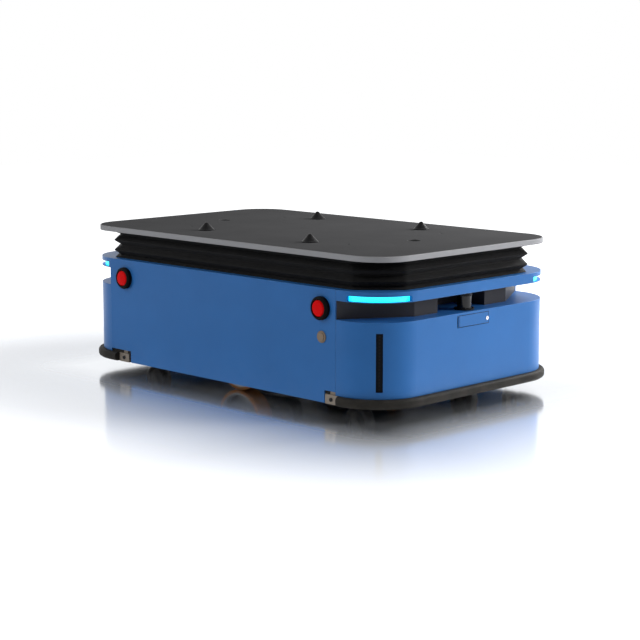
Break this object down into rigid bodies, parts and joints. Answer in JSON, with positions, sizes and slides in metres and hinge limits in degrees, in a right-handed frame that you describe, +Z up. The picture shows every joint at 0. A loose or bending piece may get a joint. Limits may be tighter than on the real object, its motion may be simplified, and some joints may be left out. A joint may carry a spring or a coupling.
{
  "type": "autonomous mobile robot",
  "caption": "Low wheeled mobile robot with a screw-driven lifting platform, end scanner slots, corner lights, emergency stops and a wrap-round bumper.",
  "frame": {"origin": "on the floor at the centre of the footprint", "axes": "+X towards the front end with the service hatch, +Y to the left, +Z up"},
  "size_m": [1.098, 0.679, 0.398],
  "materials": {
    "blue_paint": "satin powder coat",
    "frame_paint": "matte powder coat",
    "shield_paint": "matte",
    "platform_metal": "dark oxide, bright machined edge",
    "cone_metal": "black oxide",
    "bellows_fabric": "coated pleated fabric",
    "light_lens": "diffuse lens",
    "sensor_plastic": "smooth",
    "scanner_plastic": "fine texture",
    "scanner_glass": "polished",
    "bumper_rubber": "matte",
    "bracket_metal": "satin",
    "steel": "ground",
    "cast_iron": "painted",
    "bronze": "machined",
    "belt_rubber": "matte",
    "motor_paint": "satin",
    "hub_aluminium": "machined",
    "amber_polyurethane": "smooth",
    "spring_steel": "oiled",
    "zinc_steel": "zinc plated",
    "caster_polyurethane": "smooth",
    "stop_red": "smooth",
    "black_plastic": "fine texture",
    "button_metal": "satin",
    "latch_metal": "polished",
    "battery_case": "matte",
    "heatsink": "anodised"
  },
  "bodies": {
    "chassis": {"base_plate": "frame_paint", "deck_posts": "frame_paint", "deck": "blue_paint", "status_lights": "light_lens", "side_panel_right": "blue_paint", "side_panel_left": "blue_paint", "front_cover": "blue_paint", "rear_cover": "blue_paint", "corner_sensors": "sensor_plastic", "scan_shields": "shield_paint", "service_box": "black_plastic", "scanner_housings": "scanner_plastic", "scanner_windows": "scanner_glass", "bumpers": "bumper_rubber", "bumper_brackets": "bracket_metal", "bellows": "bellows_fabric", "guide_bushes": "bronze", "screw_bearings": "cast_iron", "lift_belt": "belt_rubber", "lift_gearmotor": "motor_paint", "drive_pivots": "cast_iron", "caster_plates": "zinc_steel", "stop_bodies": "black_plastic", "power_button_bezel": "button_metal", "battery_pack": "battery_case", "control_units": "heatsink", "suspension_spring_left": "spring_steel", "suspension_spring_right": "spring_steel"},
    "platform": {"lift_plate": "platform_metal", "locating_cones": "cone_metal", "lift_tubes": "steel", "lift_nuts": "bronze"},
    "motor_pulley": {"lift_motor_pulley": "steel"},
    "hatch": {"hatch_door": "blue_paint"},
    "latch": {"hatch_latch": "latch_metal"},
    "power_button": {"power_button": "button_metal"},
    "screw_1": {"lift_screw_1": "steel"},
    "screw_2": {"lift_screw_2": "steel"},
    "screw_3": {"lift_screw_3": "steel"},
    "screw_4": {"lift_screw_4": "steel"},
    "drive_arm_left": {"drive_arm_left": "cast_iron", "drive_motor_left": "motor_paint"},
    "drive_wheel_left": {"drive_hub_left": "hub_aluminium", "drive_tyre_left": "amber_polyurethane"},
    "drive_arm_right": {"drive_arm_right": "cast_iron", "drive_motor_right": "motor_paint"},
    "drive_wheel_right": {"drive_hub_right": "hub_aluminium", "drive_tyre_right": "amber_polyurethane"},
    "caster_fork_1": {"caster_fork_1": "zinc_steel"},
    "caster_wheel_1": {"caster_wheel_1": "caster_polyurethane"},
    "caster_fork_2": {"caster_fork_2": "zinc_steel"},
    "caster_wheel_2": {"caster_wheel_2": "caster_polyurethane"},
    "caster_fork_3": {"caster_fork_3": "zinc_steel"},
    "caster_wheel_3": {"caster_wheel_3": "caster_polyurethane"},
    "caster_fork_4": {"caster_fork_4": "zinc_steel"},
    "caster_wheel_4": {"caster_wheel_4": "caster_polyurethane"},
    "stop_head_1": {"stop_head_1": "stop_red"},
    "stop_head_2": {"stop_head_2": "stop_red"},
    "stop_head_3": {"stop_head_3": "stop_red"},
    "stop_head_4": {"stop_head_4": "stop_red"}
  },
  "joints": [
    {"name": "platform_lift", "type": "slide", "parent": "chassis", "child": "platform", "axis": [0, 0, 1], "range_m": [-0.06, 0], "deforming": ["bellows"]},
    {"name": "screw_1_turn", "type": "hinge", "parent": "chassis", "child": "screw_1", "pos_m": [0.26, 0.13, 0.14], "axis": [0, 0, 1], "range_deg": [-2161, 1]},
    {"name": "screw_2_turn", "type": "hinge", "parent": "chassis", "child": "screw_2", "pos_m": [-0.26, 0.13, 0.14], "axis": [0, 0, 1], "range_deg": [-2161, 1]},
    {"name": "screw_3_turn", "type": "hinge", "parent": "chassis", "child": "screw_3", "pos_m": [-0.26, -0.13, 0.14], "axis": [0, 0, 1], "range_deg": [-2161, 1]},
    {"name": "screw_4_turn", "type": "hinge", "parent": "chassis", "child": "screw_4", "pos_m": [0.26, -0.13, 0.14], "axis": [0, 0, 1], "range_deg": [-2161, 1]},
    {"name": "motor_pulley_turn", "type": "hinge", "parent": "chassis", "child": "motor_pulley", "pos_m": [0.3, 0, 0.14], "axis": [0, 0, 1], "range_deg": [-2161, 1]},
    {"name": "drive_arm_left_swing", "type": "hinge", "parent": "chassis", "child": "drive_arm_left", "pos_m": [-0.125, 0.201, 0.075], "axis": [0, 1, 0], "range_deg": [-3, 3], "stiffness_Nm_per_rad": 600, "springref_deg": 2.98, "deforming": ["suspension_spring_left"]},
    {"name": "drive_wheel_left_spin", "type": "hinge", "parent": "drive_arm_left", "child": "drive_wheel_left", "pos_m": [0, 0.2395, 0.075], "axis": [0, 1, 0], "continuous": true},
    {"name": "drive_arm_right_swing", "type": "hinge", "parent": "chassis", "child": "drive_arm_right", "pos_m": [-0.125, -0.201, 0.075], "axis": [0, 1, 0], "range_deg": [-3, 3], "stiffness_Nm_per_rad": 600, "springref_deg": 2.98, "deforming": ["suspension_spring_right"]},
    {"name": "drive_wheel_right_spin", "type": "hinge", "parent": "drive_arm_right", "child": "drive_wheel_right", "pos_m": [0, -0.2395, 0.075], "axis": [0, 1, 0], "continuous": true},
    {"name": "caster_1_swivel", "type": "hinge", "parent": "chassis", "child": "caster_fork_1", "pos_m": [0.37, 0.19, 0.09], "axis": [0, 0, 1], "continuous": true},
    {"name": "caster_1_roll", "type": "hinge", "parent": "caster_fork_1", "child": "caster_wheel_1", "pos_m": [0.344, 0.19, 0.0375], "axis": [0, 1, 0], "continuous": true},
    {"name": "caster_2_swivel", "type": "hinge", "parent": "chassis", "child": "caster_fork_2", "pos_m": [-0.37, 0.19, 0.09], "axis": [0, 0, 1], "continuous": true},
    {"name": "caster_2_roll", "type": "hinge", "parent": "caster_fork_2", "child": "caster_wheel_2", "pos_m": [-0.396, 0.19, 0.0375], "axis": [0, 1, 0], "continuous": true},
    {"name": "caster_3_swivel", "type": "hinge", "parent": "chassis", "child": "caster_fork_3", "pos_m": [-0.37, -0.19, 0.09], "axis": [0, 0, 1], "continuous": true},
    {"name": "caster_3_roll", "type": "hinge", "parent": "caster_fork_3", "child": "caster_wheel_3", "pos_m": [-0.396, -0.19, 0.0375], "axis": [0, 1, 0], "continuous": true},
    {"name": "caster_4_swivel", "type": "hinge", "parent": "chassis", "child": "caster_fork_4", "pos_m": [0.37, -0.19, 0.09], "axis": [0, 0, 1], "continuous": true},
    {"name": "caster_4_roll", "type": "hinge", "parent": "caster_fork_4", "child": "caster_wheel_4", "pos_m": [0.344, -0.19, 0.0375], "axis": [0, 1, 0], "continuous": true},
    {"name": "stop_1_push", "type": "slide", "parent": "chassis", "child": "stop_head_1", "axis": [0, 1, 0], "range_m": [0, 0.004], "stiffness_N_per_m": 1500},
    {"name": "stop_2_push", "type": "slide", "parent": "chassis", "child": "stop_head_2", "axis": [0, 1, 0], "range_m": [0, 0.004], "stiffness_N_per_m": 1500},
    {"name": "stop_3_push", "type": "slide", "parent": "chassis", "child": "stop_head_3", "axis": [0, -1, 0], "range_m": [0, 0.004], "stiffness_N_per_m": 1500},
    {"name": "stop_4_push", "type": "slide", "parent": "chassis", "child": "stop_head_4", "axis": [0, -1, 0], "range_m": [0, 0.004], "stiffness_N_per_m": 1500},
    {"name": "power_button_push", "type": "slide", "parent": "chassis", "child": "power_button", "axis": [0, 1, 0], "range_m": [0, 0.002], "stiffness_N_per_m": 800},
    {"name": "hatch_swing", "type": "hinge", "parent": "chassis", "child": "hatch", "pos_m": [0.535, -0.06, 0.2085], "axis": [0, 0, -1], "range_deg": [0, 110]},
    {"name": "latch_turn", "type": "hinge", "parent": "hatch", "child": "latch", "pos_m": [0.535, 0.0431, 0.207], "axis": [1, 0, 0], "range_deg": [0, 90]}
  ],
  "couplings": [
    {"joint": "screw_1_turn", "follows": "platform_lift", "rad_per_m": 628.32},
    {"joint": "screw_2_turn", "follows": "platform_lift", "rad_per_m": 628.32},
    {"joint": "screw_3_turn", "follows": "platform_lift", "rad_per_m": 628.32},
    {"joint": "screw_4_turn", "follows": "platform_lift", "rad_per_m": 628.32},
    {"joint": "motor_pulley_turn", "follows": "platform_lift", "rad_per_m": 628.32}
  ]
}
